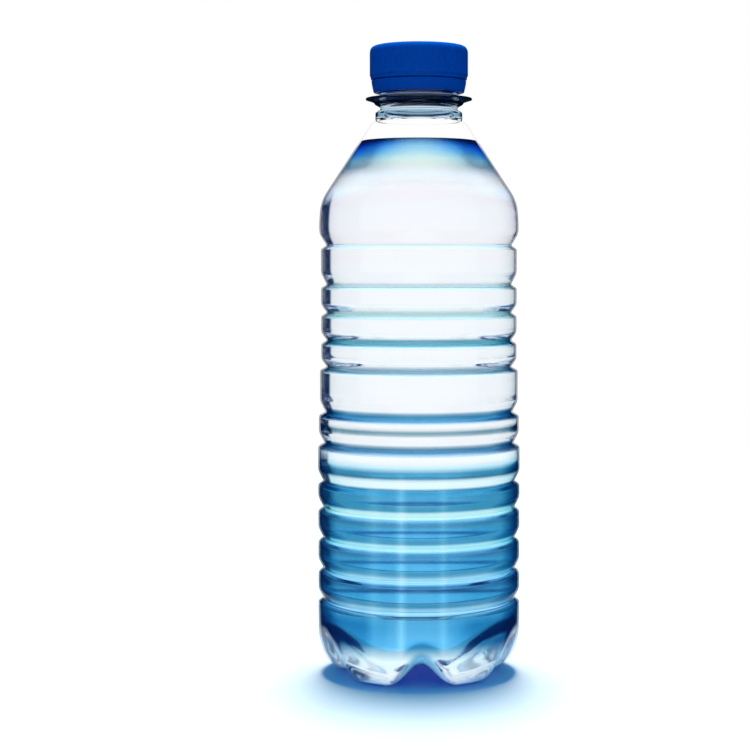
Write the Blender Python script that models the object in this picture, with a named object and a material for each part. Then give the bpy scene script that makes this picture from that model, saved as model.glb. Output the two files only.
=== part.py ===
"""A full drinking-water bottle: a clear blown shell with sawtooth hoops and a five-foot base, the water
in it, and a blue screw cap with its liner and tamper band.

The bottle stands on Z = 0 with its axis on +Z. A section is a list of (radius, height, rise) points
in millimetres, where rise is how far the straps of the base lie above that point of a foot. Sections
become metres where they are turned into meshes.
"""

from math import atan2, cos, hypot, pi, radians, sin, sqrt

import bmesh
import bpy

MM = 0.001
SIDES = 40  # facets round every turned piece, eight to each foot
GAP = 0.3  # clearance between pieces that touch

# Overall
TOTAL_HEIGHT = 201.6
WATER_HEIGHT = 171.4
WALL = 0.4

# Neck finish
MOUTH_HEIGHT = 198.8
MOUTH_CHAMFER = 0.4
BORE_RADIUS = 10.9
LAND_RADIUS = 12.45  # the cylinder that carries the thread
BEAD_RADIUS, BEAD_HEIGHT = 13.75, 189.6  # keeps the tamper band on the neck
RING_RADIUS, RING_HEIGHT = 17.0, 184.6  # support ring
RING_RIM, RING_ROOT = 0.9, 1.5  # its thickness at the rim and at the neck
THROAT_RADIUS = 12.35
COLLAR_RADIUS, COLLAR_TOP, COLLAR_BOTTOM = 13.95, 180.4, 178.0  # step above the shoulder

# Shoulder: a straight cone that turns down into a slightly swollen belt
CONE_RADIUS, CONE_HEIGHT = 13.6, 177.6
SHOULDER_RADIUS, SHOULDER_HEIGHT, SHOULDER_ROUND = 31.0, 151.4, 3.0
BELT_RADIUS, BELT_HEIGHT = 32.0, 144.2

# Outer radius of each hoop and the height of the groove floor that ends it, from the top down
HOOPS = (
    (31.8, 138.1),
    (31.4, 125.6),
    (31.4, 116.6),
    (31.4, 107.7),
    (31.4, 99.2),
    (31.8, 84.6),
    (32.2, 74.6),
    (32.5, 62.3),
    (32.5, 53.8),
    (32.5, 43.9),
    (32.5, 33.9),
    (32.5, 24.1),
)
GROOVE_DEPTH = 1.8
SLOPE = 3.6  # height of the long slope above a groove's floor
LEDGE = 1.2  # height of the short ledge under it

# Base: feet with straps between them that rise to the wall
BODY_RADIUS = 32.6
FEET = 5
FOOT_HEIGHT, STRAP_HEIGHT, DOME_HEIGHT = 15.0, 17.5, 3.5
PAD_INNER, PAD_OUTER = 22.0, 24.5
PAD_SHARE = 0.85  # share of a foot's swell past which its pad is flat
BASE_TURN = radians(-52)  # leaves a strap 2 degrees off -Y

# Cap, its liner, and the tamper band that it leaves on the neck
CAP_RADIUS, CAP_FOOT_RADIUS, CAP_FOOT = 15.7, 15.35, 190.8
CAP_BORE = 14.2
CAP_ROUND = 2.1
CAP_PANEL = 1.7
LINER_RADIUS, LINER_THICKNESS = 13.6, 0.5
BAND_RADIUS, BAND_FOOT_RADIUS = 15.15, 14.45
BAND_TOP, BAND_FOOT = 190.5, 186.7
BAND_BORE, BAND_LIP_RADIUS, BAND_LIP_HEIGHT = 14.1, 12.95, 1.5


def plain(points):
    """Section points that the straps don't lift."""
    return [(radius, height, 0.0) for radius, height in points]


def arc(centre, radii, start, end, steps):
    """Points along an ellipse, with angles in degrees from +radius towards +height."""
    turns = [radians(start + (end - start) * i / steps) for i in range(steps + 1)]
    return [(centre[0] + radii[0] * cos(t), centre[1] + radii[1] * sin(t)) for t in turns]


def rounded(before, corner, after, reach, steps=3):
    """Points of the curve that eases a corner, from reach before it to reach after it."""
    arms = []
    for end in (before, after):
        x, y = end[0] - corner[0], end[1] - corner[1]
        arms.append((reach * x / hypot(x, y), reach * y / hypot(x, y)))
    points = []
    for i in range(steps + 1):
        back, on = (1 - i / steps) ** 2, (i / steps) ** 2
        points.append(tuple(corner[k] + back * arms[0][k] + on * arms[1][k] for k in (0, 1)))
    return points


def inset(section, distance):
    """The section moved inwards, to the right of its run down the outer side and in under the base."""
    moved = []
    for i, (radius, height, rise) in enumerate(section):
        normals = []
        for (r0, z0, _), (r1, z1, _) in zip(section[max(0, i - 1) : i + 1], section[max(1, i) : i + 2]):
            length = hypot(r1 - r0, z1 - z0)
            normals.append(((z1 - z0) / length, (r0 - r1) / length))
        x, y = (sum(part) / len(normals) for part in zip(*normals))
        step = distance / (x * x + y * y)
        moved.append((radius and radius + x * step, height + y * step, rise))
    return moved


def neck_section():
    """The outer side of the neck finish, from the mouth down to the collar."""
    return plain(
        [
            (LAND_RADIUS - MOUTH_CHAMFER, MOUTH_HEIGHT),
            (LAND_RADIUS, MOUTH_HEIGHT - MOUTH_CHAMFER),
            (LAND_RADIUS, BEAD_HEIGHT + 1.4),
            (BEAD_RADIUS, BEAD_HEIGHT + 0.2),
            (BEAD_RADIUS, BEAD_HEIGHT - 0.3),
            (LAND_RADIUS, BEAD_HEIGHT - 0.9),
            (LAND_RADIUS, RING_HEIGHT + RING_ROOT / 2),
            (RING_RADIUS - RING_RIM / 3, RING_HEIGHT + RING_RIM / 2),
            (RING_RADIUS, RING_HEIGHT + RING_RIM / 4),
            (RING_RADIUS, RING_HEIGHT - RING_RIM / 4),
            (RING_RADIUS - RING_RIM / 3, RING_HEIGHT - RING_RIM / 2),
            (THROAT_RADIUS, RING_HEIGHT - RING_ROOT / 2),
            (THROAT_RADIUS, COLLAR_TOP + 1.2),
            (COLLAR_RADIUS, COLLAR_TOP),
            (COLLAR_RADIUS, COLLAR_BOTTOM),
        ]
    )


def body_section():
    """The outer side of the shoulder and the hoops, down to the ledge above the base."""
    cone_top = (CONE_RADIUS, CONE_HEIGHT)
    shoulder = (SHOULDER_RADIUS, SHOULDER_HEIGHT)
    belt = (BELT_RADIUS, BELT_HEIGHT)
    points = [cone_top, *rounded(cone_top, shoulder, belt, SHOULDER_ROUND), belt]
    below = [radius for radius, _ in HOOPS[1:]] + [BODY_RADIUS]
    for (radius, floor), next_radius in zip(HOOPS, below):
        floor_radius = min(radius, next_radius) - GROOVE_DEPTH
        points += [(radius, floor + SLOPE), (floor_radius, floor), (next_radius, floor - LEDGE)]
    return plain(points)


def dome(radius):
    """Height of the base's pushed-up middle, which ends at the pads."""
    return DOME_HEIGHT * max(0, 1 - (radius / PAD_INNER) ** 2)


def base_section():
    """The section through a foot, from the wall over the pad to the middle of the base."""
    rim = (BODY_RADIUS - PAD_OUTER, FOOT_HEIGHT)
    points = arc((PAD_OUTER, FOOT_HEIGHT), rim, 0, -90, 5)
    points += [(PAD_INNER * share, dome(PAD_INNER * share)) for share in (1, 0.76, 0.5, 0.24, 0)]
    section = []
    for radius, height in points:
        across = min(1, radius / BODY_RADIUS)
        strap = DOME_HEIGHT + (STRAP_HEIGHT - DOME_HEIGHT) * (1 - sqrt(1 - across**2))
        section.append((radius, height, strap - height))
    return section


def swell(angle):
    """1 over a foot's pad, and 0 along the straps on both sides of it."""
    share = min(1, (0.5 + 0.5 * cos(FEET * angle)) / PAD_SHARE)
    return share * (2 - share)


def material(name, colour, roughness, transmission=0.0, ior=1.5):
    made = bpy.data.materials.new(name)
    made.use_nodes = True
    shader = made.node_tree.nodes["Principled BSDF"]
    shader.inputs["Base Color"].default_value = (*colour, 1)
    shader.inputs["Roughness"].default_value = roughness
    shader.inputs["Metallic"].default_value = 0
    shader.inputs["Transmission Weight"].default_value = transmission
    shader.inputs["IOR"].default_value = ior
    return made


def turned(name, section, surface):
    """Spins a section about the Z axis and lifts the straps of its base.

    A section starts and ends on the axis, or is closed into a ring if it starts off it.
    """
    shape = bmesh.new()
    rise = shape.verts.layers.float.new("rise")
    verts = []
    for radius, height, lift in section:
        vert = shape.verts.new((radius * MM, 0, height * MM))
        vert[rise] = lift * MM
        verts.append(vert)
    if section[0][0] > 0:
        verts.append(verts[0])
    edges = [shape.edges.new(pair) for pair in zip(verts, verts[1:])]
    bmesh.ops.spin(shape, geom=edges, cent=(0, 0, 0), axis=(0, 0, 1), angle=2 * pi, steps=SIDES)
    bmesh.ops.remove_doubles(shape, verts=shape.verts, dist=0.001 * MM)
    for vert in shape.verts:
        vert.co.z += vert[rise] * (1 - swell(atan2(vert.co.y, vert.co.x)))
    shape.verts.layers.float.remove(rise)
    # the twisted quads of the base are split the same way on the shell and on the water inside it
    bmesh.ops.triangulate(shape, faces=shape.faces, quad_method="SHORT_EDGE")
    bmesh.ops.recalc_face_normals(shape, faces=shape.faces)
    mesh = bpy.data.meshes.new(name)
    shape.to_mesh(mesh)
    shape.free()
    mesh.shade_smooth()
    mesh.set_sharp_from_angle(angle=radians(35))
    mesh.materials.append(surface)
    made = bpy.data.objects.new(name, mesh)
    bpy.context.scene.collection.objects.link(made)
    return made


def make_bottle():
    """The blown shell, open at its mouth, with a thick neck and a thin body."""
    body = body_section() + base_section()
    outside = neck_section() + body
    bore = plain([(BORE_RADIUS, MOUTH_HEIGHT), (BORE_RADIUS, COLLAR_TOP + 1.2)])
    inside = bore + inset(body, WALL)
    clear_plastic = material("clear_plastic", (0.93, 0.97, 1.0), 0.03, 1.0, 1.57)
    bottle = turned("bottle", inside[::-1] + outside, clear_plastic)
    bottle.rotation_euler.z = BASE_TURN
    return bottle


def make_water():
    """The fill, level at the foot of the neck and just clear of the shell all round."""
    wetted = inset(body_section() + base_section(), WALL + GAP)
    (r0, z0, _), (r1, z1, _) = wetted[:2]
    edge_radius = r0 + (r1 - r0) * (z0 - WATER_HEIGHT) / (z0 - z1)
    surface = plain([(0, WATER_HEIGHT), (edge_radius, WATER_HEIGHT)])
    water = turned("water", surface + wetted[1:], material("water", (0.75, 0.9, 1.0), 0.0, 1.0, 1.33))
    water.rotation_euler.z = BASE_TURN
    return water


def make_tamper_band(blue):
    """The ring under the cap, whose lip sits below the neck's bead."""
    lip_top = BAND_FOOT + BAND_LIP_HEIGHT
    section = plain(
        [
            (BAND_RADIUS, BAND_TOP),
            (BAND_FOOT_RADIUS, BAND_FOOT),
            (BAND_LIP_RADIUS, BAND_FOOT),
            (BAND_LIP_RADIUS, lip_top),
            (BAND_BORE, lip_top + 0.4),
            (BAND_BORE, BAND_TOP),
        ]
    )
    return turned("tamper_band", section, blue)


def make_liner():
    """The sealing disc between the mouth and the cap's panel."""
    foot = MOUTH_HEIGHT + GAP
    top = foot + LINER_THICKNESS
    section = plain([(0, top), (LINER_RADIUS, top), (LINER_RADIUS, foot), (0, foot)])
    return turned("liner", section, material("liner", (0.85, 0.86, 0.86), 0.5))


def make_cap(blue):
    """The screw cap, an open-footed cup with a rounded top edge and a slight taper."""
    panel = TOTAL_HEIGHT - CAP_PANEL
    edge_centre = (CAP_RADIUS - CAP_ROUND, TOTAL_HEIGHT - CAP_ROUND)
    edge = arc(edge_centre, (CAP_ROUND, CAP_ROUND), 0, 90, 4)
    inside = [(0, panel), (CAP_BORE, panel), (CAP_BORE, CAP_FOOT)]
    outside = [(CAP_FOOT_RADIUS, CAP_FOOT), *edge, (0, TOTAL_HEIGHT)]
    return turned("cap", plain(inside + outside), blue)


def main():
    for leftover in list(bpy.data.objects):
        bpy.data.objects.remove(leftover)
    blue = material("blue_plastic", (0.004, 0.045, 0.31), 0.3)
    make_bottle()
    make_water()
    make_tamper_band(blue)
    make_liner()
    make_cap(blue)


main()
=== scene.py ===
"""A full drinking-water bottle: clear blown shell, water, screw cap and tamper band.

The add-on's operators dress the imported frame: each makes one piece of the bottle, in metres, in
place on its body. Sizes in the tables are in millimetres. A corner is a (radius, height, reach)
point of a profile, where reach is how far its round runs along both sides. A section is a list of
(radius, height, rise) points, where rise is how far the straps of the base lie above that point
of a foot.
"""

from math import atan2, cos, exp, hypot, pi, radians, sin, sqrt

import bpy
from bpy.props import FloatProperty, FloatVectorProperty, IntProperty, PointerProperty
from bpy.types import Operator, Panel, PropertyGroup
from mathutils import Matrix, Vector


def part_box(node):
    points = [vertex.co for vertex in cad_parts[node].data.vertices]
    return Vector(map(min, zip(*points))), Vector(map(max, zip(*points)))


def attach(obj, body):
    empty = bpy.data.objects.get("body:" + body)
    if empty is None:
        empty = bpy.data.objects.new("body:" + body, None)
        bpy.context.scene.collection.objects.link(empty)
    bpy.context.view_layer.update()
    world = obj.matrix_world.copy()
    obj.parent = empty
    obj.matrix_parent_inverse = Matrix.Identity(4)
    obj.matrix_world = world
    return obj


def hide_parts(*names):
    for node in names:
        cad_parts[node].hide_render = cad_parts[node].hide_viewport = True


bl_info = {
    "name": "Water bottle",
    "version": (1, 0, 0),
    "blender": (4, 5, 0),
    "location": "View3D > Sidebar > Water bottle",
    "description": "Builds a full plastic water bottle with its cap on a packed frame",
    "category": "Add Mesh",
}

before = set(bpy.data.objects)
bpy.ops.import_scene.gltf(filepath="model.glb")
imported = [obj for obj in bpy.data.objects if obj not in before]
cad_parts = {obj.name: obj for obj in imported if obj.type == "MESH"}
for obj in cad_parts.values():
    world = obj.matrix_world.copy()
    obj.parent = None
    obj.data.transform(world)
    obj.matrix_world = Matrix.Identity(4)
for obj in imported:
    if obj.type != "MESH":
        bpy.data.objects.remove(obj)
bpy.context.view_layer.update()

MM = 0.001
CAP_LOW, CAP_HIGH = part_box("cap")
BAND_LOW, BAND_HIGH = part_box("tamper_band")
WATER_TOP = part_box("water")[1][2]

# Outer radius of each hoop and the height of the groove floor that ends it, from the top down
HOOPS = (
    (31.8, 138.1),
    (31.4, 125.6),
    (31.4, 116.6),
    (31.4, 107.7),
    (31.4, 99.2),
    (31.8, 84.6),
    (32.2, 74.6),
    (32.5, 62.3),
    (32.5, 53.8),
    (32.5, 43.9),
    (32.5, 33.9),
    (32.5, 24.1),
)
# A groove's depth below the narrower hoop beside it, and the heights of its slope and its ledge
GROOVE_DEPTH, SLOPE, LEDGE = 1.8, 3.6, 1.2
# The grooves with a shorter slope, and the share of the slope that they have
SHORT_GROOVES, SHORT_SHARE = (116.6, 107.7, 99.2), 0.7
# The round of a hoop's lower edge, as a share of the round of its upper edge
LOWER_CREST = 0.55
# The shoulder's corners, below the foot of the neck
SHOULDER = ((15.0, 177.3, 0.6), (31.5, 152.0, 3.5), (32.0, 144.2, 2.0))

BODY_RADIUS = 32.57
FEET = 5
FOOT_HEIGHT, STRAP_HEIGHT, DOME_HEIGHT = 15.0, 17.5, 3.5
PAD_INNER, PAD_OUTER, PAD_SHARE = 22.0, 24.5, 0.85
BASE_TURN = radians(-52)

BORE_RADIUS, LAND_RADIUS = 10.9, 12.45
MOUTH_HEIGHT = 198.8
BEAD_RADIUS, BEAD_TOP, BEAD_FOOT = 13.72, 189.85, 189.3
RING_RADIUS, RING_HEIGHT = 17.0, 184.6
THROAT_RADIUS = 12.4
COLLAR_RADIUS, COLLAR_TOP, COLLAR_BOTTOM = 13.9, 180.4, 178.0
NECK_FOOT = (13.6, 177.6, 0)
# Height of the lower end of the neck's thread, and the share of a turn in which a thread runs out
THREAD_FOOT, RUN_OUT = 192.4, 0.12
# Radii of the cap's bore and of the band's bore, and how thick the cap's top is
CAP_BORE, BAND_BORE, CAP_PANEL = 14.2, 13.9, 1.7
# Radius of the hook at the band's foot, and the radius and height of the lip over its top
HOOK_RADIUS, LIP_RADIUS, LIP_HEIGHT = 12.95, 14.1, 0.8
# How far in from the wall the meniscus dies away
MENISCUS_WIDTH = 1.2

# Shaders read heights as a share of this one, and the painted streaks as a share of this width
RAMP_HEIGHT, RAMP_WIDTH = 200, 66
# A colour ramp is given no more stops than this
MOST_STOPS = 31
# The shader takes the root of its colour at each surface, so this many layers show it as it is
ONE_PASS = 2.0
# Painted colour of the water by height on the walls, standing in for the surroundings seen bent
# through it: painted blue below, pale above, and a painted dark band under the waterline
PALE, NAVY = (0.91, 0.95, 0.95), (0.002, 0.01, 0.03)
WALL_PAINTED_LIGHT = (
    (0, (1.0, 1.0, 1.0)),
    (9.5, (0.85, 1.0, 1.0)),
    (14, (0.11, 0.42, 0.62)),
    (20, (0.07, 0.32, 0.49)),
    (34, (0.07, 0.35, 0.53)),
    (48, (0.075, 0.37, 0.57)),
    (61, (0.07, 0.34, 0.5)),
    (66.2, (0.05, 0.24, 0.36)),
    (68.0, (0.08, 0.36, 0.55)),
    (69.6, (0.6, 0.9, 0.98)),
    (71, PALE),
    (130, PALE),
    (138, (0.93, 0.93, 0.92)),
    (148, (0.91, 0.93, 0.95)),
    (155.5, (0.92, 0.9, 0.9)),
    (158, (0.87, 0.82, 0.77)),
    (161, (0.78, 0.8, 0.84)),
    (164.8, (0.66, 0.84, 0.945)),
    (166.8, (0.42, 0.72, 0.975)),
    (168.9, (0.24, 0.555, 0.945)),
    (170.1, (0.12, 0.35, 0.735)),
    (171.2, (0.035, 0.09, 0.2)),
)
# Painted highlight arcs and dark shade lines round each groove: height of its floor, reach below
# and above that, and colour
GROOVE_PAINTED_LIGHT = (
    (138.1, 0.8, 0.4, (0.8, 0.88, 0.9)),
    (125.6, 1.1, 0.7, (0.6, 0.73, 0.73)),
    (116.6, 1.1, 1.2, (0.5, 0.68, 0.66)),
    (107.7, 1.2, 1.2, (0.17, 0.42, 0.48)),
    (99.2, 1.0, 0.9, (0.25, 0.39, 0.45)),
    (84.6, 1.2, 1.5, (0.07, 0.3, 0.47)),
    (80.3, 0.8, 0.8, (0.19, 0.36, 0.43)),
    (74.6, 1.2, 1.3, (0.09, 0.27, 0.41)),
    (62.3, -0.7, 3.5, (0.8, 0.98, 1.0)),
    (53.8, 0.5, 1.9, (0.6, 0.92, 0.93)),
    (52.2, 0.8, 0.8, (0.06, 0.26, 0.42)),
    (43.9, 0.5, 1.9, (0.45, 0.82, 0.9)),
    (42.3, 0.9, 0.8, (0.06, 0.24, 0.4)),
    (33.9, 0.5, 1.9, (0.38, 0.72, 0.86)),
    (32.2, 1.0, 0.9, (0.05, 0.22, 0.38)),
    (24.1, 0.5, 1.9, (0.34, 0.64, 0.8)),
    (22.6, 1.0, 0.8, (0.07, 0.3, 0.45)),
)
# Painted highlight streaks, paler down the lower hoops: place across, half width, and share of the
# colour's depth
PAINTED_STREAKS = ((-14.0, 3.2, 0.8), (-5.4, 2.2, 0.66), (7.5, 2.0, 0.8))
# How strongly the film's painted dark edge shade shows edge-on, at heights on the walls
FILM_EDGE_SHADE = ((0, 1.0), (66, 1.0), (72, 0.65), (169, 0.65), (172, 0.12))
# How rough the water looks behind the film, at heights on the walls
EVENNESS = ((0, 0.08), (18, 0.08), (24, 0.15), (62, 0.15), (70, 0.06), (150, 0.06), (158, 0.16))
# Painted shade and refraction colours of the neck's thick plastic by height: dark lines at the
# collar, near black over the support ring, and blue in the gap under the band
NECK_PAINTED_LIGHT = (
    (177.9, (0.95, 0.98, 1.0)),
    (178.4, (0.5, 0.7, 0.8)),
    (178.8, (0.2, 0.36, 0.48)),
    (179.3, (0.15, 0.28, 0.4)),
    (179.9, (0.28, 0.47, 0.64)),
    (180.6, (0.6, 0.8, 0.92)),
    (181.8, (0.75, 0.87, 0.95)),
    (182.4, (0.003, 0.01, 0.03)),
    (185.2, (0.003, 0.01, 0.04)),
    (185.8, (0.14, 0.26, 0.48)),
    (187, (0.5, 0.62, 0.85)),
)
# Radius beyond which the neck takes its painted colour, and how much further out that is on the
# collar
TINTED_FROM, COLLAR_STEP = BORE_RADIUS + 0.8, 1.7
# How strongly the neck bends light, and the collar, where a blown wall is thin
NECK_INDEX, COLLAR_INDEX = 1.5, 1.15
# Slant from which painted edge shade deepens the water's colour, and by how much: on the body and
# on the shoulder
EDGE_SHADE_SLANTS = ((0.445, 9.0), (0.2, 16.0))
# Painted colours laid over the water: a painted warmer correction of the light seen through the
# shoulder, and painted dark-blue shade at the sides of the feet
SHOULDER_PAINTED_TINT, FEET_PAINTED_SHADE = (1.0, 0.685, 0.38), (0.06, 0.26, 0.55)

# The dark cards: the rays that pick each up, and its two ends in degrees round from behind
CARDS = (
    ("Is Transmission Ray", 43, 148),
    ("Is Reflection Ray", 4, 110),
    ("Is Reflection Ray", -4, -110),
)
# Distances aside of the bottle, in metres, over which the floor turns dark in reflections
DARK_FLOOR = (0.04, 0.07)
# The large lamp's two diameters, how far behind the bottle it hangs and how high, in metres
LAMP_WIDTH, LAMP_DEPTH, LAMP_BACK, LAMP_HEIGHT = 0.65, 1.1, 0.44, 2.8
# The camera's place in metres, its tilt down in degrees, its lens and its shift
CAMERA_PLACE, CAMERA_TILT = (0, -0.5976, 0.1324), 3.2
LENS, SENSOR, SHIFT = 89.1, 36.0, (-0.0585, -0.0107)

# ---------------------------------------------------------------- settings


class ShellSizes(PropertyGroup):
    """Sizes of the blown shell"""

    wall: FloatProperty(
        name="Wall", description="Thickness of the blown wall", default=0.4 * MM, unit="LENGTH"
    )
    crest: FloatProperty(
        name="Crest round",
        description="How far the round of a hoop's upper and lower edge reaches",
        default=1.0 * MM,
        unit="LENGTH",
    )
    valley: FloatProperty(
        name="Valley round",
        description="How far the round of a groove's floor reaches",
        default=0.55 * MM,
        unit="LENGTH",
    )
    sides: IntProperty(name="Sides", description="Facets round the bottle", default=160, min=40)


class WaterSizes(PropertyGroup):
    """Sizes of the water"""

    clearance: FloatProperty(
        name="Clearance",
        description="Gap between the water and the wall",
        default=0.04 * MM,
        unit="LENGTH",
    )
    meniscus: FloatProperty(
        name="Meniscus",
        description="How far the water climbs at the wall",
        default=0.8 * MM,
        unit="LENGTH",
    )
    depth: FloatProperty(
        name="Fill height",
        description="Height of the water's surface above the floor",
        default=WATER_TOP - 0.8 * MM,
        unit="LENGTH",
    )


class CapSizes(PropertyGroup):
    """Sizes of the screw cap and of both threads"""

    radius: FloatProperty(
        name="Cap radius",
        description="Radius over the grip ribs",
        default=CAP_HIGH[0],
        unit="LENGTH",
    )
    ribs: IntProperty(name="Ribs", description="Grip ribs round the cap", default=120, min=12)
    rib_depth: FloatProperty(
        name="Rib depth", description="Depth of the grip ribs", default=0.16 * MM, unit="LENGTH"
    )
    pitch: FloatProperty(
        name="Thread pitch",
        description="Rise of the thread in one turn",
        default=2.7 * MM,
        unit="LENGTH",
    )


class Colours(PropertyGroup):
    """Colours of the bottle's materials"""

    cap: FloatVectorProperty(
        name="Cap",
        description="Colour of the cap and the tamper band",
        subtype="COLOR",
        size=3,
        default=(0.0, 0.115, 0.58),
        min=0,
        max=1,
    )
    shade: FloatVectorProperty(
        name="Shade",
        description="Tint of the shadow that the full bottle throws",
        subtype="COLOR",
        size=3,
        default=(0.02, 0.12, 0.46),
        min=0,
        max=1,
    )
    # Painted glow: a faint blue emission that keeps the water's darkest parts blue
    glow: FloatVectorProperty(
        name="Glow",
        description="Faint light that the water scatters, which keeps its darkest parts blue",
        subtype="COLOR",
        size=3,
        default=(0.001, 0.006, 0.028),
        min=0,
        max=1,
    )
    # Painted edge shade: the dark blue that the clear film takes on where it is seen edge-on
    edge: FloatVectorProperty(
        name="Edge",
        description="Colour of the plastic where it is seen edge-on",
        subtype="COLOR",
        size=3,
        default=(0.002, 0.045, 0.15),
        min=0,
        max=1,
    )
    liner: FloatVectorProperty(
        name="Liner",
        description="Colour of the foamed sealing disc",
        subtype="COLOR",
        size=3,
        default=(0.82, 0.83, 0.83),
        min=0,
        max=1,
    )


class Studio(PropertyGroup):
    """The floor, the surround and the lamp"""

    floor: FloatVectorProperty(
        name="Floor",
        description="Colour of the floor",
        subtype="COLOR",
        size=3,
        default=(0.98, 0.98, 0.98),
        min=0,
        max=1,
    )
    gloss: FloatProperty(
        name="Gloss",
        description="Share of the light that the floor mirrors softly",
        subtype="FACTOR",
        default=0.08,
        min=0,
        max=1,
    )
    floor_size: FloatProperty(
        name="Floor size", description="Side of the floor", default=1.8, unit="LENGTH"
    )
    sky: FloatProperty(
        name="Surround", description="Brightness of the white surround", default=1.0, min=0
    )
    fill: FloatVectorProperty(
        name="Fill",
        description="Colour of the weak light that the surround throws on the floor and the cap",
        subtype="COLOR",
        size=3,
        default=(0.04, 0.34, 0.55),
        min=0,
        max=1,
    )
    key: FloatProperty(
        name="Key light",
        description="Power of the large light overhead",
        default=90.0,
        unit="POWER",
    )


# ---------------------------------------------------------------- shapes


def eased(corners, steps=6):
    """Points along a profile's corners, each eased by a curve of its reach."""
    points = []
    for i, (radius, height, reach) in enumerate(corners):
        if not reach or i in (0, len(corners) - 1):
            points.append((radius, height))
            continue
        arms = []
        for r, z, _ in (corners[i - 1], corners[i + 1]):
            x, y = r - radius, z - height
            # No round takes up half of a side, since the next corner may take the other half
            span = min(reach, 0.48 * hypot(x, y)) / hypot(x, y)
            arms.append((x * span, y * span))
        for k in range(steps + 1):
            back, on = (1 - k / steps) ** 2, (k / steps) ** 2
            points.append(
                (
                    radius + back * arms[0][0] + on * arms[1][0],
                    height + back * arms[0][1] + on * arms[1][1],
                )
            )
    return points


def spread(points, longest):
    """The points with extra ones between, none further apart than longest."""
    dense = [points[0]]
    for a, b in zip(points, points[1:]):
        count = max(1, int(hypot(b[0] - a[0], b[1] - a[1]) / longest) + 1)
        for k in range(1, count + 1):
            dense.append(tuple(p + (q - p) * k / count for p, q in zip(a, b)))
    return dense


def plain(points):
    """Section points that the straps don't lift."""
    return [(radius, height, 0.0) for radius, height in points]


def inset(section, distance):
    """The section moved inwards, to the right of its run down the outer side."""
    moved = []
    for i, (radius, height, rise) in enumerate(section):
        normals = []
        starts, ends = section[max(0, i - 1) : i + 1], section[max(1, i) : i + 2]
        for (r0, z0, _), (r1, z1, _) in zip(starts, ends):
            length = hypot(r1 - r0, z1 - z0)
            normals.append(((z1 - z0) / length, (r0 - r1) / length))
        x, y = (sum(part) / len(normals) for part in zip(*normals))
        step = distance / (x * x + y * y)
        moved.append((radius and radius + x * step, height + y * step, rise))
    return moved


def neck_corners():
    """The outer side of the neck finish, from the mouth down to the collar."""
    return [
        (BORE_RADIUS + 0.5, MOUTH_HEIGHT, 0),
        (LAND_RADIUS, MOUTH_HEIGHT, 0.5),
        (LAND_RADIUS, 191.0, 0.4),
        (BEAD_RADIUS, BEAD_TOP, 0.3),
        (BEAD_RADIUS, BEAD_FOOT, 0.3),
        (LAND_RADIUS, 188.7, 0.4),
        (LAND_RADIUS, RING_HEIGHT + 0.75, 0.6),
        (RING_RADIUS, RING_HEIGHT + 0.4, 0.25),
        (RING_RADIUS, RING_HEIGHT - 0.2, 0.25),
        (14.4, RING_HEIGHT - 1.0, 0.3),
        (14.0, RING_HEIGHT - 1.7, 0.4),
        (THROAT_RADIUS, RING_HEIGHT - 2.5, 0.6),
        (THROAT_RADIUS - 0.05, COLLAR_TOP + 0.9, 0.7),
        (COLLAR_RADIUS, COLLAR_TOP + 0.1, 0.5),
        (COLLAR_RADIUS, COLLAR_BOTTOM, 0.3),
        NECK_FOOT,
    ]


def body_corners(crest, valley):
    """The outer side of the shoulder and the hoops, down to the wall above the base."""
    corners = [NECK_FOOT, *SHOULDER]
    below = [radius for radius, _ in HOOPS[1:]] + [BODY_RADIUS]
    for (radius, floor), next_radius in zip(HOOPS, below):
        slope = SLOPE * (SHORT_SHARE if floor in SHORT_GROOVES else 1)
        corners += [
            (radius, floor + slope, crest),
            (min(radius, next_radius) - GROOVE_DEPTH, floor, valley),
            (next_radius, floor - LEDGE, crest * LOWER_CREST),
        ]
    return corners


def dome(radius):
    """Height of the base's pushed-up middle, which ends at the pads."""
    return DOME_HEIGHT * max(0, 1 - (radius / PAD_INNER) ** 2)


def base_section():
    """The section through a foot, from the wall over the pad to the middle of the base."""
    reach, steps = BODY_RADIUS - PAD_OUTER, 24
    points = []
    for k in range(steps + 1):
        turn = radians(90 * k / steps)
        points.append((PAD_OUTER + reach * cos(turn), FOOT_HEIGHT * (1 - sin(turn))))
    points += [(PAD_INNER + (PAD_OUTER - PAD_INNER) * k / 3, 0.0) for k in (2, 1)]
    inner = [PAD_INNER * k / steps for k in range(steps, -1, -1)]
    points += [(radius, dome(radius)) for radius in inner]
    section = []
    for radius, height in points:
        across = min(1, radius / BODY_RADIUS)
        strap = DOME_HEIGHT + (STRAP_HEIGHT - DOME_HEIGHT) * (1 - sqrt(1 - across**2))
        section.append((radius, height, strap - height))
    return section


def swell(angle):
    """1 over a foot's pad, and 0 along the straps on both sides of it."""
    share = min(1, (0.5 + 0.5 * cos(FEET * angle)) / PAD_SHARE)
    return share * (2 - share)


def body_section(sizes):
    """The whole outer side of the body, from the foot of the collar to the middle of the base."""
    wall = eased(body_corners(sizes.crest / MM, sizes.valley / MM))
    return plain(spread(wall, 1.6)) + base_section()


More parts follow.
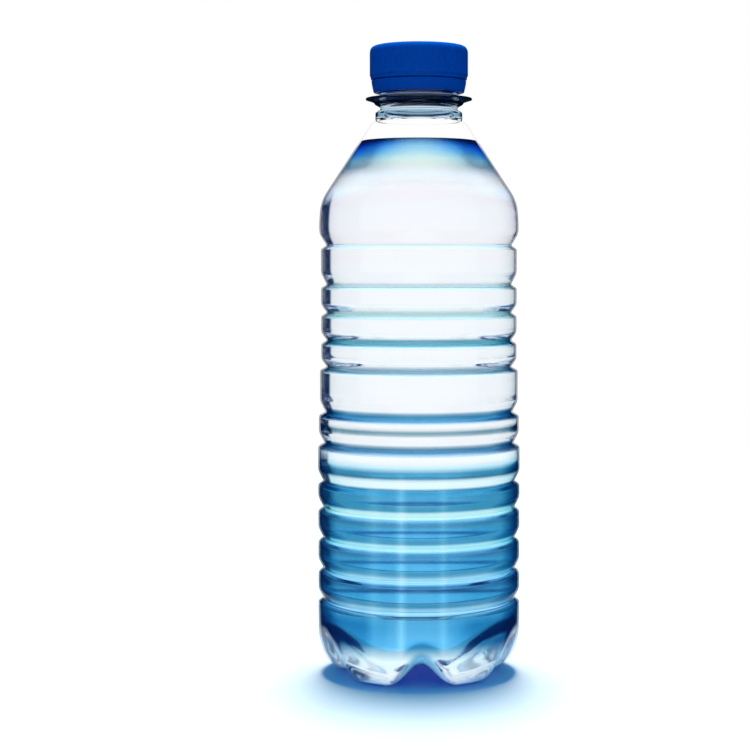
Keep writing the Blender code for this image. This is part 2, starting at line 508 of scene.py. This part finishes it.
def turned(name, section, sides):
    """Turns a section about Z into a mesh object and lifts the straps of its base.

    A section that starts and ends off the axis is closed into a ring.
    """
    closed = section[0][0] > 0 and section[-1][0] > 0
    verts, rows = [], []
    for radius, height, rise in section:
        if radius == 0:
            rows.append([len(verts)] * sides)
            verts.append((0, 0, height * MM))
            continue
        rows.append(list(range(len(verts), len(verts) + sides)))
        for k in range(sides):
            turn = 2 * pi * k / sides
            lift = rise * (1 - swell(turn - BASE_TURN))
            verts.append((radius * cos(turn) * MM, radius * sin(turn) * MM, (height + lift) * MM))
    faces = []
    pairs = list(zip(rows, rows[1:]))
    if closed:
        pairs.append((rows[-1], rows[0]))
    for upper, lower in pairs:
        for k in range(sides):
            n = (k + 1) % sides
            ring = [upper[k], lower[k], lower[n], upper[n]]
            faces.append(tuple(dict.fromkeys(ring)))
    return mesh_object(name, verts, faces)


def mesh_object(name, verts, faces, sharp=40):
    """An object of these faces, smooth except at edges sharper than that many degrees."""
    mesh = bpy.data.meshes.new(name)
    mesh.from_pydata(verts, [], faces)
    mesh.validate()
    mesh.shade_smooth()
    mesh.set_sharp_from_angle(angle=radians(sharp))
    made = bpy.data.objects.new(name, mesh)
    bpy.context.scene.collection.objects.link(made)
    return made


def thread(name, root, crest, half_root, half_crest, foot, turns, pitch, start, steps=72):
    """A helical ridge from its root's radius to its crest's that runs out at both ends."""
    verts, faces = [], []
    count = int(turns * steps)
    for i in range(count + 1):
        turn = start + 2 * pi * i / steps
        grown = min(1, i / (steps * RUN_OUT), (count - i) / (steps * RUN_OUT))
        grown = grown * grown * (3 - 2 * grown)
        tip = root + (crest - root) * max(0.02, grown)
        middle = foot + pitch * i / steps
        for radius, offset in (
            (root, -half_root),
            (tip, -half_crest),
            (tip, half_crest),
            (root, half_root),
        ):
            x, y = radius * cos(turn), radius * sin(turn)
            verts.append((x * MM, y * MM, (middle + offset) * MM))
        if i:
            a, b = 4 * (i - 1), 4 * i
            for k in range(4):
                n = (k + 1) % 4
                faces.append((a + k, b + k, b + n, a + n))
    faces.append((0, 1, 2, 3))
    last = 4 * count
    faces.append((last + 3, last + 2, last + 1, last))
    if crest < root:  # a ridge that stands inwards is wound the other way
        faces = [face[::-1] for face in faces]
    return mesh_object(name, verts, faces, 30)


# ---------------------------------------------------------------- materials


def new_material(name):
    """An empty material, with its nodes and its links."""
    made = bpy.data.materials.new(name)
    made.use_nodes = True
    made.node_tree.nodes.clear()
    return made, made.node_tree.nodes, made.node_tree.links


def ramp(nodes, stops):
    """A colour ramp with a stop for each (place, colour)."""
    node = nodes.new("ShaderNodeValToRGB")
    node.color_ramp.elements.remove(node.color_ramp.elements[1])
    for i, (place, colour) in enumerate(stops):
        stop = node.color_ramp.elements[0] if i == 0 else node.color_ramp.elements.new(place)
        stop.position = place
        stop.color = (*colour, 1)
    return node


def greys(stops):
    """The (place, share) stops with each share as a grey."""
    return [(place, (share, share, share)) for place, share in stops]


def maths(nodes, links, operation, first, second, clamp=False):
    """The result of one step of arithmetic on two numbers or sockets."""
    node = nodes.new("ShaderNodeMath")
    node.operation = operation
    node.use_clamp = clamp
    for socket, value in zip(node.inputs, (first, second)):
        if isinstance(value, (int, float)):
            socket.default_value = value
        else:
            links.new(value, socket)
    return node.outputs[0]


def new_group(name, takes, gives):
    """An empty group with one number to take and the named sockets to give."""
    group = bpy.data.node_groups.new(name, "ShaderNodeTree")
    group.interface.new_socket(takes, in_out="INPUT", socket_type="NodeSocketFloat")
    for socket, kind in gives:
        group.interface.new_socket(socket, in_out="OUTPUT", socket_type="NodeSocket" + kind)
    nodes = group.nodes
    enter, leave = nodes.new("NodeGroupInput"), nodes.new("NodeGroupOutput")
    return group, enter.outputs[takes], leave.inputs


def placed(nodes, name, maker, value):
    """The group as a node of a material, made once by its maker, with its input set."""
    node = nodes.new("ShaderNodeGroup")
    node.node_tree = bpy.data.node_groups.get(name) or maker(name)
    node.inputs[0].default_value = value
    return node


def surface_grain(name):
    """A group that gives fine unevenness: a mask and a height from layered noise."""
    group, scale, given = new_group(name, "Scale", (("Mask", "Float"), ("Height", "Float")))
    nodes, links = group.nodes, group.links
    place = nodes.new("ShaderNodeTexCoord")
    noise = nodes.new("ShaderNodeTexNoise")
    noise.inputs["Detail"].default_value = 3
    links.new(place.outputs["Object"], noise.inputs["Vector"])
    links.new(scale, noise.inputs["Scale"])
    narrowed = nodes.new("ShaderNodeMapRange")
    narrowed.inputs["From Min"].default_value = 0.35
    narrowed.inputs["From Max"].default_value = 0.7
    links.new(noise.outputs["Fac"], narrowed.inputs["Value"])
    links.new(narrowed.outputs["Result"], given["Mask"])
    links.new(noise.outputs["Fac"], given["Height"])
    return group


def neck_painted_light(name):
    """A group that gives the painted shade and refraction colour of the neck's outer side, and
    white on its inner side.
    """
    group, depth, given = new_group(name, "Depth", (("Color", "Color"),))
    nodes, links = group.nodes, group.links
    height = height_of(nodes, links)
    tint = deepened(nodes, links, by_height(nodes, links, height, NECK_PAINTED_LIGHT), depth)
    collar = maths(nodes, links, "LESS_THAN", height, COLLAR_TOP / RAMP_HEIGHT)
    inner = maths(nodes, links, "MULTIPLY", collar, COLLAR_STEP * MM)
    inner = maths(nodes, links, "ADD", inner, TINTED_FROM * MM)
    outside = maths(nodes, links, "GREATER_THAN", radius_of(nodes, links), inner)
    links.new(mixed(nodes, links, outside, (1.0, 1.0, 1.0), tint), given["Color"])
    return group


def finished(nodes, links, surface):
    """Leads the surface to the material's output."""
    out = nodes.new("ShaderNodeOutputMaterial")
    links.new(surface, out.inputs["Surface"])


def blended(nodes, links, share, first, second):
    """Two surfaces mixed, with that share of the second."""
    mix = nodes.new("ShaderNodeMixShader")
    if isinstance(share, float):
        mix.inputs[0].default_value = share
    else:
        links.new(share, mix.inputs[0])
    links.new(first, mix.inputs[1])
    links.new(second, mix.inputs[2])
    return mix.outputs[0]


def lets_light_by(nodes, links, surface, tint):
    """Mixes in a tinted transparent surface for the rays that only carry light past the piece."""
    path = nodes.new("ShaderNodeLightPath")
    past = maths(
        nodes, links, "MAXIMUM", path.outputs["Is Shadow Ray"], path.outputs["Is Diffuse Ray"]
    )
    clear = nodes.new("ShaderNodeBsdfTransparent")
    clear.inputs["Color"].default_value = (*tint, 1)
    finished(nodes, links, blended(nodes, links, past, surface, clear.outputs[0]))


def clear_film(name, colours):
    """The blown wall: nearly invisible face-on, and denser edge-on as thin plastic is, with
    painted dark-blue edge shade whose strength is set by height.
    """
    made, nodes, links = new_material(name)
    facing = nodes.new("ShaderNodeLayerWeight")
    facing.inputs["Blend"].default_value = 0.25
    density = ramp(nodes, greys([(0.0, 0.0), (0.5, 0.004), (0.66, 0.7), (1.0, 0.92)]))
    links.new(facing.outputs["Facing"], density.inputs[0])
    # Painted edge shade, stronger on the lower walls
    edge_shade_strength = by_height(nodes, links, height_of(nodes, links), greys(FILM_EDGE_SHADE))
    plastic = nodes.new("ShaderNodeBsdfPrincipled")
    plastic.inputs["Base Color"].default_value = (*colours.edge, 1)
    plastic.inputs["Roughness"].default_value = 0.06
    plastic.inputs["Specular IOR Level"].default_value = 0.3
    links.new(maths(nodes, links, "MULTIPLY", density.outputs[0], edge_shade_strength), plastic.inputs["Alpha"])
    lets_light_by(nodes, links, plastic.outputs[0], (0.97, 0.985, 1.0))
    return made


def clear_solid(name, index):
    """The thick plastic of the neck, which bends the light that crosses it and carries painted
    shade and refraction colours by height.
    """
    made, nodes, links = new_material(name)
    plastic = nodes.new("ShaderNodeBsdfPrincipled")
    tint = placed(nodes, "neck_painted_light", neck_painted_light, ONE_PASS)
    entering = where_entering(nodes, links, tint.outputs["Color"])
    links.new(entering, plastic.inputs["Base Color"])
    plastic.inputs["Roughness"].default_value = 0.02
    plastic.inputs["IOR"].default_value = index
    plastic.inputs["Transmission Weight"].default_value = 1.0
    lets_light_by(nodes, links, plastic.outputs[0], (0.85, 0.92, 1.0))
    return made


def by_height(nodes, links, height, stops):
    """A colour that changes with the height above the floor, from (height, colour) stops."""
    colour = None
    for start in range(0, len(stops) - 1, MOST_STOPS - 1):
        part = [(z / RAMP_HEIGHT, shade) for z, shade in stops[start : start + MOST_STOPS]]
        shades = ramp(nodes, part)
        links.new(height, shades.inputs[0])
        if colour is None:
            colour = shades.outputs[0]
            continue
        above = maths(nodes, links, "GREATER_THAN", height, part[0][0])
        colour = mixed(nodes, links, above, colour, shades.outputs[0])
    return colour


def shade_at(stops, height):
    """The colour at one height, straight between the stops on both sides of it."""
    for (z0, first), (z1, second) in zip(stops, stops[1:]):
        if height <= z1:
            share = max(0, (height - z0) / (z1 - z0))
            return tuple(a + (b - a) * share for a, b in zip(first, second))
    return stops[-1][1]


def laid_over(stops, patches, soft=0.3):
    """The stops with each (height, below, above, colour) patch laid over them."""
    for height, below, above, colour in patches:
        low, high = height - below, height + above
        ends = [(z, shade_at(stops, z)) for z in (low - soft, high + soft)]
        stops = [stop for stop in stops if not ends[0][0] <= stop[0] <= ends[1][0]]
        stops = sorted([*stops, ends[0], (low + soft, colour), (high - soft, colour), ends[1]])
    return stops


def mixed(nodes, links, share, first, second, blend="MIX"):
    """Two colours mixed, with that share of the second."""
    node = nodes.new("ShaderNodeMix")
    node.data_type, node.blend_type = "RGBA", blend
    sockets = node.inputs[0], node.inputs[6], node.inputs[7]
    for socket, value in zip(sockets, (share, first, second)):
        if isinstance(value, tuple):
            socket.default_value = (*value, 1)
        else:
            links.new(value, socket)
    return node.outputs[2]


def between(nodes, links, value, low, high):
    """0 at low and 1 at high, eased."""
    node = nodes.new("ShaderNodeMapRange")
    node.interpolation_type = "SMOOTHSTEP"
    node.inputs["From Min"].default_value = low
    node.inputs["From Max"].default_value = high
    links.new(value, node.inputs["Value"])
    return node.outputs["Result"]


def along(nodes, links, axis):
    """The place on the piece along one of its axes, in metres."""
    place, split = nodes.new("ShaderNodeTexCoord"), nodes.new("ShaderNodeSeparateXYZ")
    links.new(place.outputs["Object"], split.inputs[0])
    return split.outputs[axis]


def height_of(nodes, links):
    """The height above the floor, as a share of the height that the stops are given in."""
    return maths(nodes, links, "MULTIPLY", along(nodes, links, "Z"), 1 / (RAMP_HEIGHT * MM), True)


def radius_of(nodes, links):
    """The distance from the piece's upright axis, in metres."""
    place, flat = nodes.new("ShaderNodeTexCoord"), nodes.new("ShaderNodeVectorMath")
    flat.operation = "MULTIPLY"
    flat.inputs[1].default_value = (1.0, 1.0, 0.0)
    links.new(place.outputs["Object"], flat.inputs[0])
    length = nodes.new("ShaderNodeVectorMath")
    length.operation = "LENGTH"
    links.new(flat.outputs[0], length.inputs[0])
    return length.outputs["Value"]


def at_heights(nodes, links, height, low, high):
    """0 at the first height in millimetres and 1 at the second, eased."""
    return between(nodes, links, height, low / RAMP_HEIGHT, high / RAMP_HEIGHT)


def deepened(nodes, links, colour, depth):
    """The colour as it is seen through that many layers."""
    node = nodes.new("ShaderNodeGamma")
    for socket, value in zip(node.inputs, (colour, depth)):
        if isinstance(value, (int, float)):
            socket.default_value = value
        else:
            links.new(value, socket)
    return node.outputs[0]


def where_entering(nodes, links, colour):
    """The colour on the faces where light enters, and none on those where it leaves."""
    entering = nodes.new("ShaderNodeNewGeometry")
    return mixed(nodes, links, entering.outputs["Backfacing"], colour, (1.0, 1.0, 1.0))


def painted_streak_share(nodes, links, height):
    """The share of the depth of colour that is left in the painted highlight streaks, and 1 beside
    them.
    """
    across = maths(nodes, links, "MULTIPLY", along(nodes, links, "X"), 1 / (RAMP_WIDTH * MM))
    stops = [(0.0, 1.0)]
    for x, half, left in PAINTED_STREAKS:
        sides = ((x - half, 1.0), (x, left), (x + half, 1.0))
        stops += [(place / RAMP_WIDTH + 0.5, share) for place, share in sides]
    shades = ramp(nodes, greys(stops))
    links.new(maths(nodes, links, "ADD", across, 0.5), shades.inputs[0])
    taken = maths(nodes, links, "SUBTRACT", 1.0, shades.outputs[0])
    lower = at_heights(nodes, links, height, 70, 62)
    return maths(nodes, links, "SUBTRACT", 1.0, maths(nodes, links, "MULTIPLY", taken, lower))


def painted_water_colour(nodes, links):
    """The water's painted colour: painted refraction colours by height, and painted shade that
    deepens it where it is seen aslant.
    """
    height = height_of(nodes, links)
    # Painted refraction colours by height, with the grooves' painted highlight arcs and dark lines
    # laid over them
    tint = by_height(nodes, links, height, laid_over(list(WALL_PAINTED_LIGHT), GROOVE_PAINTED_LIGHT))
    facing = nodes.new("ShaderNodeLayerWeight")
    facing.inputs["Blend"].default_value = 0.5
    slant = facing.outputs["Facing"]
    # Painted edge shade: the colour deepens where the surface is seen aslant
    depths = []
    for start, gain in EDGE_SHADE_SLANTS:
        beyond = maths(nodes, links, "MAXIMUM", maths(nodes, links, "SUBTRACT", slant, start), 0.0)
        depths.append(
            maths(nodes, links, "ADD", maths(nodes, links, "MULTIPLY", beyond, gain), ONE_PASS)
        )
    # Painted shade at the sides, strongest low on the feet
    sides = between(nodes, links, slant, 0.04, 0.2)
    foot = at_heights(nodes, links, height, 23, 20)
    foot = maths(nodes, links, "ADD", maths(nodes, links, "MULTIPLY", foot, 0.9), 0.35)
    depths[0] = maths(nodes, links, "ADD", depths[0], maths(nodes, links, "MULTIPLY", sides, foot))
    # Painted highlight streaks lighten the lower hoops
    depths[0] = maths(nodes, links, "MULTIPLY", depths[0], painted_streak_share(nodes, links, height))
    shoulder = at_heights(nodes, links, height, 158, 163)
    depth = nodes.new("ShaderNodeMix")
    sockets = depth.inputs[0], depth.inputs[2], depth.inputs[3]
    for socket, value in zip(sockets, (shoulder, *depths)):
        links.new(value, socket)
    tint = deepened(nodes, links, tint, depth.outputs[0])
    # Painted dark-blue shade on the sides of the feet, and the painted correction on the shoulder
    low = at_heights(nodes, links, height, 26, 19)
    feet_side_shade = maths(nodes, links, "MULTIPLY", between(nodes, links, slant, 0.3, 0.7), low)
    for share, colour in ((shoulder, SHOULDER_PAINTED_TINT), (feet_side_shade, FEET_PAINTED_SHADE)):
        tint = mixed(nodes, links, share, tint, colour, "MULTIPLY")
    return where_entering(nodes, links, tint)


def still_water(name, colours):
    """The water, which bends the light that crosses it, with a painted colour and a painted glow.
    """
    made, nodes, links = new_material(name)
    liquid = nodes.new("ShaderNodeBsdfPrincipled")
    links.new(painted_water_colour(nodes, links), liquid.inputs["Base Color"])
    evenness = by_height(nodes, links, height_of(nodes, links), greys(EVENNESS))
    links.new(evenness, liquid.inputs["Roughness"])
    liquid.inputs["IOR"].default_value = 1.333
    liquid.inputs["Transmission Weight"].default_value = 1.0
    # Painted glow: faint blue emission on the water
    liquid.inputs["Emission Color"].default_value = (*colours.glow, 1)
    liquid.inputs["Emission Strength"].default_value = 1.0
    lets_light_by(nodes, links, liquid.outputs[0], tuple(colours.shade))
    return made


def bumped(nodes, links, height, shader, strength, distance):
    """Gives the shader a fine relief of that height."""
    bump = nodes.new("ShaderNodeBump")
    bump.inputs["Strength"].default_value = strength
    bump.inputs["Distance"].default_value = distance
    links.new(height, bump.inputs["Height"])
    links.new(bump.outputs[0], shader.inputs["Normal"])


def blue_polythene(name, colours):
    """The satin plastic of the cap and the tamper band."""
    made, nodes, links = new_material(name)
    fine = placed(nodes, "surface_grain", surface_grain, 900)
    darker, paler = (tuple(min(1, part * share) for part in colours.cap) for share in (0.9, 1.08))
    shades = ramp(nodes, [(0.0, darker), (1.0, paler)])
    links.new(fine.outputs["Mask"], shades.inputs[0])
    plastic = nodes.new("ShaderNodeBsdfPrincipled")
    links.new(shades.outputs[0], plastic.inputs["Base Color"])
    plastic.inputs["Specular IOR Level"].default_value = 0.08
    rough = nodes.new("ShaderNodeMapRange")
    rough.inputs["To Min"].default_value = 0.34
    rough.inputs["To Max"].default_value = 0.44
    links.new(fine.outputs["Mask"], rough.inputs["Value"])
    links.new(rough.outputs["Result"], plastic.inputs["Roughness"])
    bumped(nodes, links, fine.outputs["Height"], plastic, 0.15, 0.05 * MM)
    finished(nodes, links, plastic.outputs[0])
    return made


def foamed_liner(name, colours):
    """The soft sealing disc in the cap."""
    made, nodes, links = new_material(name)
    cells = placed(nodes, "surface_grain", surface_grain, 2500)
    plastic = nodes.new("ShaderNodeBsdfPrincipled")
    plastic.inputs["Base Color"].default_value = (*colours.liner, 1)
    plastic.inputs["Roughness"].default_value = 0.6
    bumped(nodes, links, cells.outputs["Height"], plastic, 0.4, 0.1 * MM)
    finished(nodes, links, plastic.outputs[0])
    return made


def shared(name, maker, given):
    """A material by its name, made by its maker the first time it is asked for."""
    return bpy.data.materials.get(name) or maker(name, given)


# ---------------------------------------------------------------- operators


class BOTTLE_OT_shell(Operator):
    """Makes the blown shell with its hoops and its footed base, as one thin sheet"""

    bl_idname = "bottle.shell"
    bl_label = "Shell"

    def execute(self, context):
        sizes, colours = context.scene.shell_sizes, context.scene.bottle_colours
        shell = turned("shell", body_section(sizes), sizes.sides)
        shell.data.materials.append(shared("clear_film", clear_film, colours))
        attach(shell, "bottle")
        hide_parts("bottle")
        return {"FINISHED"}


class BOTTLE_OT_neck(Operator):
    """Makes the thick neck with its bore, its support ring and its thread"""

    bl_idname = "bottle.neck"
    bl_label = "Neck"

    def execute(self, context):
        sizes, wall = context.scene.cap_sizes, context.scene.shell_sizes.wall / MM
        bore = [
            (NECK_FOOT[0] - wall, NECK_FOOT[1]),
            (BORE_RADIUS, COLLAR_TOP + 1.2),
            (BORE_RADIUS, MOUTH_HEIGHT - 0.3),
        ]
        section = plain(spread(eased(neck_corners()), 1.2) + spread(bore, 2.0))
        neck = turned("neck", section, context.scene.shell_sizes.sides)
        ridge = thread(
            "neck_thread",
            root=LAND_RADIUS - 0.05,
            crest=13.65,
            half_root=0.75,
            half_crest=0.3,
            foot=THREAD_FOOT,
            turns=1.75,
            pitch=sizes.pitch / MM,
            start=0.6,
        )
        for piece in (neck, ridge):
            piece.data.materials.append(shared("clear_solid", clear_solid, NECK_INDEX))
            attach(piece, "bottle")
        neck.data.materials.append(shared("clear_collar", clear_solid, COLLAR_INDEX))
        for face in neck.data.polygons:
            face.material_index = int(face.center.z < (COLLAR_TOP + 0.6) * MM)
        return {"FINISHED"}


class BOTTLE_OT_water(Operator):
    """Fills the shell with water up to the foot of the neck"""

    bl_idname = "bottle.water"
    bl_label = "Water"

    def execute(self, context):
        shell, sizes = context.scene.shell_sizes, context.scene.water_sizes
        colours = context.scene.bottle_colours
        wetted = inset(body_section(shell), (shell.wall + sizes.clearance) / MM)
        level, climb = sizes.depth / MM, sizes.meniscus / MM
        contact = level + climb
        below = [point for point in wetted if point[1] < contact or point[2]]
        first = wetted[len(wetted) - len(below) - 1]
        share = (first[1] - contact) / (first[1] - below[0][1])
        edge = first[0] + (below[0][0] - first[0]) * share
        # Rings across the surface, closer together where the meniscus climbs
        radii = [edge * k / 24 for k in range(1, 20)]
        radii += [edge * (0.8 + 0.2 * k / 12) for k in range(13)]
        surface = [(0.0, level)]
        surface += [(r, level + climb * exp((r - edge) / MENISCUS_WIDTH)) for r in radii]
        water = turned("water_fill", plain(surface) + below, shell.sides)
        water.data.materials.append(shared("still_water", still_water, colours))
        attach(water, "bottle")
        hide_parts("water")
        return {"FINISHED"}


class BOTTLE_OT_tamper_band(Operator):
    """Makes the tamper band, with the lip that stands up inside the cap's skirt"""

    bl_idname = "bottle.tamper_band"
    bl_label = "Tamper band"

    def execute(self, context):
        colours = context.scene.bottle_colours
        foot, top = BAND_LOW[2] / MM, BAND_HIGH[2] / MM
        outer = BAND_HIGH[0] / MM
        corners = [
            (BAND_BORE, top + LIP_HEIGHT, 0),
            (LIP_RADIUS, top + LIP_HEIGHT, 0),
            (LIP_RADIUS, top, 0),
            (outer, top, 0.25),
            (outer - 0.12, top - 1.2, 0.5),
            (HOOK_RADIUS + 1.5, foot, 0.35),
            (HOOK_RADIUS, foot, 0.3),
            (HOOK_RADIUS, foot + 1.5, 0.3),
            (BAND_BORE, foot + 1.9, 0.3),
            (BAND_BORE, top + LIP_HEIGHT, 0),
        ]
        section = plain(spread(eased(corners), 0.8))[:-1]
        facets = 240
        band = turned("tamper_band_ring", section, facets)
        band.data.materials.append(shared("blue_polythene", blue_polythene, colours))
        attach(band, "bottle")
        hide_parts("tamper_band")
        return {"FINISHED"}


class BOTTLE_OT_cap(Operator):
    """Makes the screw cap with its grip ribs and its inner thread"""

    bl_idname = "bottle.cap"
    bl_label = "Cap"

    def execute(self, context):
        sizes, colours = context.scene.cap_sizes, context.scene.bottle_colours
        foot, top = CAP_LOW[2] / MM, CAP_HIGH[2] / MM
        outer = sizes.radius / MM
        outside = [
            (CAP_BORE, foot, 0),
            (outer - 0.35, foot, 0.2),
            (outer - 0.3, foot + 0.9, 0.3),
            (outer, foot + 1.3, 0.3),
            (outer, top, 2.4),
            (0.0, top, 0),
        ]
        inside = [(0.0, top - CAP_PANEL, 0), (CAP_BORE, top - CAP_PANEL, 0.5), (CAP_BORE, foot, 0)]
        section = plain(spread(eased(outside, 8), 0.7) + spread(eased(inside), 2.0))
        # The last point repeats the first, and the run up the bore turns the faces outwards
        section = section[-2::-1]
        facets_per_rib = 6
        cap = turned("cap_shell", section, sizes.ribs * facets_per_rib)
        self.press_ribs(cap.data, sizes, foot + 1.6, top - 1.2)
        ridge = thread(
            "cap_thread",
            root=CAP_BORE + 0.05,
            crest=12.75,
            half_root=0.6,
            half_crest=0.25,
            foot=THREAD_FOOT + 1.35,
            turns=1.6,
            pitch=sizes.pitch / MM,
            start=0.9,
        )
        for piece in (cap, ridge):
            piece.data.materials.append(shared("blue_polythene", blue_polythene, colours))
            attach(piece, "cap")
        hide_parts("cap")
        return {"FINISHED"}

    def press_ribs(self, mesh, sizes, low, high):
        """Presses the grooves between the ribs into the cap's side."""
        fade_below, fade_above = 0.6, 1.6
        for vert in mesh.vertices:
            radius, height = hypot(vert.co.x, vert.co.y), vert.co.z / MM
            if radius < sizes.radius - 1.0 * MM or not low < height < high:
                continue
            fade = min(1, (height - low) / fade_below, (high - height) / fade_above)
            wave = 0.5 - 0.5 * cos(sizes.ribs * atan2(vert.co.y, vert.co.x))
            scale = 1 - sizes.rib_depth * fade * wave / radius
            vert.co.x *= scale
            vert.co.y *= scale


class BOTTLE_OT_liner(Operator):
    """Gives the sealing liner its foamed finish"""

    bl_idname = "bottle.liner"
    bl_label = "Liner"

    def execute(self, context):
        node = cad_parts["liner"]
        finish = shared("foamed_liner", foamed_liner, context.scene.bottle_colours)
        if not node.material_slots:
            raise RuntimeError("the liner has no material slot")
        for held in node.material_slots:
            held.material = finish
        return {"FINISHED"}


class BOTTLE_OT_stage(Operator):
    """Sets the floor, the lights, the surround and the camera"""

    bl_idname = "bottle.stage"
    bl_label = "Stage"

    def execute(self, context):
        studio = context.scene.bottle_studio
        self.set_floor(studio)
        self.set_surround(context.scene, studio)
        self.set_lights(context.scene, studio)
        self.set_camera(context.scene)
        context.scene.view_settings.view_transform = "Standard"
        return {"FINISHED"}

    def set_floor(self, studio):
        """A white sheet that fades out into the surround, and is dark aside in reflections."""
        half = studio.floor_size / 2
        corners = [(-half, -half, 0), (half, -half, 0), (half, half, 0), (-half, half, 0)]
        floor = mesh_object("floor", corners, [(0, 1, 2, 3)])
        made, nodes, links = new_material("floor")
        paper, gloss = nodes.new("ShaderNodeBsdfDiffuse"), nodes.new("ShaderNodeBsdfGlossy")
        gloss.inputs["Roughness"].default_value = 0.4
        satin = blended(nodes, links, studio.gloss, paper.outputs[0], gloss.outputs[0])
        path = nodes.new("ShaderNodeLightPath")
        aside = maths(nodes, links, "ABSOLUTE", along(nodes, links, "X"), 0.0)
        beside = between(nodes, links, aside, *DARK_FLOOR)
        beside = maths(nodes, links, "MULTIPLY", beside, path.outputs["Is Reflection Ray"])
        links.new(mixed(nodes, links, beside, tuple(studio.floor), NAVY), paper.inputs["Color"])
        gone = between(nodes, links, radius_of(nodes, links), half * 0.3, half)
        clear = nodes.new("ShaderNodeBsdfTransparent")
        finished(nodes, links, blended(nodes, links, gone, satin, clear.outputs[0]))
        floor.data.materials.append(made)

    def set_surround(self, scene, studio):
        """White all round, with dark cards that only the clear pieces and gloss pick up."""
        world = bpy.data.worlds.new("surround")
        scene.world = world
        world.use_nodes = True
        nodes, links = world.node_tree.nodes, world.node_tree.links
        nodes.clear()
        place, split = nodes.new("ShaderNodeTexCoord"), nodes.new("ShaderNodeSeparateXYZ")
        links.new(place.outputs["Generated"], split.inputs[0])
        side = maths(nodes, links, "ARCTAN2", split.outputs["X"], split.outputs["Y"])
        path = nodes.new("ShaderNodeLightPath")
        dark = 0.0
        for ray, start, end in CARDS:
            near = between(nodes, links, side, radians(start * 0.95), radians(start * 1.05))
            far = between(nodes, links, side, radians(end), radians(end * 0.95))
            card = maths(nodes, links, "MULTIPLY", near, far)
            card = maths(nodes, links, "MULTIPLY", card, path.outputs[ray])
            dark = maths(nodes, links, "MAXIMUM", card, dark)
        around = mixed(nodes, links, dark, (1.0, 1.0, 1.0), NAVY)
        seen = path.outputs["Is Camera Ray"]
        for ray in ("Is Glossy Ray", "Is Transmission Ray"):
            seen = maths(nodes, links, "MAXIMUM", seen, path.outputs[ray])
        colour = mixed(nodes, links, seen, tuple(studio.fill), around)
        glow = nodes.new("ShaderNodeBackground")
        glow.inputs["Strength"].default_value = studio.sky
        links.new(colour, glow.inputs["Color"])
        out = nodes.new("ShaderNodeOutputWorld")
        links.new(glow.outputs[0], out.inputs["Surface"])

    def set_lights(self, scene, studio):
        """One large soft lamp overhead, a little behind the bottle and turned to its foot."""
        lamp = bpy.data.lights.new("key", "AREA")
        lamp.shape = "ELLIPSE"
        lamp.size, lamp.size_y = LAMP_WIDTH, LAMP_DEPTH
        lamp.energy = studio.key
        key = bpy.data.objects.new("key", lamp)
        scene.collection.objects.link(key)
        key.visible_glossy = key.visible_transmission = False
        key.location = (0, LAMP_BACK, LAMP_HEIGHT)
        key.rotation_euler.x = -atan2(LAMP_BACK, LAMP_HEIGHT)

    def set_camera(self, scene):
        """The camera in front of the bottle, at two thirds of its height."""
        lens = bpy.data.cameras.new("camera")
        lens.lens, lens.sensor_width = LENS, SENSOR
        lens.shift_x, lens.shift_y = SHIFT
        lens.clip_start, lens.clip_end = 0.01, 50
        camera = bpy.data.objects.new("camera", lens)
        scene.collection.objects.link(camera)
        camera.location = CAMERA_PLACE
        camera.rotation_euler = (radians(90 - CAMERA_TILT), 0, 0)
        scene.camera = camera


class BOTTLE_PT_panel(Panel):
    """A button for each piece and for the stage"""

    bl_label = "Water bottle"
    bl_idname = "BOTTLE_PT_panel"
    bl_space_type = "VIEW_3D"
    bl_region_type = "UI"
    bl_category = "Water bottle"

    def draw(self, context):
        for operator in OPERATORS:
            self.layout.operator(operator.bl_idname)


OPERATORS = (
    BOTTLE_OT_shell,
    BOTTLE_OT_neck,
    BOTTLE_OT_water,
    BOTTLE_OT_tamper_band,
    BOTTLE_OT_liner,
    BOTTLE_OT_cap,
    BOTTLE_OT_stage,
)
SETTINGS = {
    "shell_sizes": ShellSizes,
    "water_sizes": WaterSizes,
    "cap_sizes": CapSizes,
    "bottle_colours": Colours,
    "bottle_studio": Studio,
}


def register():
    """Adds the settings, the operators and the panel to Blender."""
    for kind in (*SETTINGS.values(), *OPERATORS, BOTTLE_PT_panel):
        bpy.utils.register_class(kind)
    for name, kind in SETTINGS.items():
        setattr(bpy.types.Scene, name, PointerProperty(type=kind))


def unregister():
    """Takes them out again."""
    for name in SETTINGS:
        delattr(bpy.types.Scene, name)
    for kind in reversed((*SETTINGS.values(), *OPERATORS, BOTTLE_PT_panel)):
        bpy.utils.unregister_class(kind)


def main():
    """Builds every piece and the stage."""
    register()
    for operator in OPERATORS:
        group, name = operator.bl_idname.split(".")
        getattr(getattr(bpy.ops, group), name)()


if __name__ == "__main__":
    main()
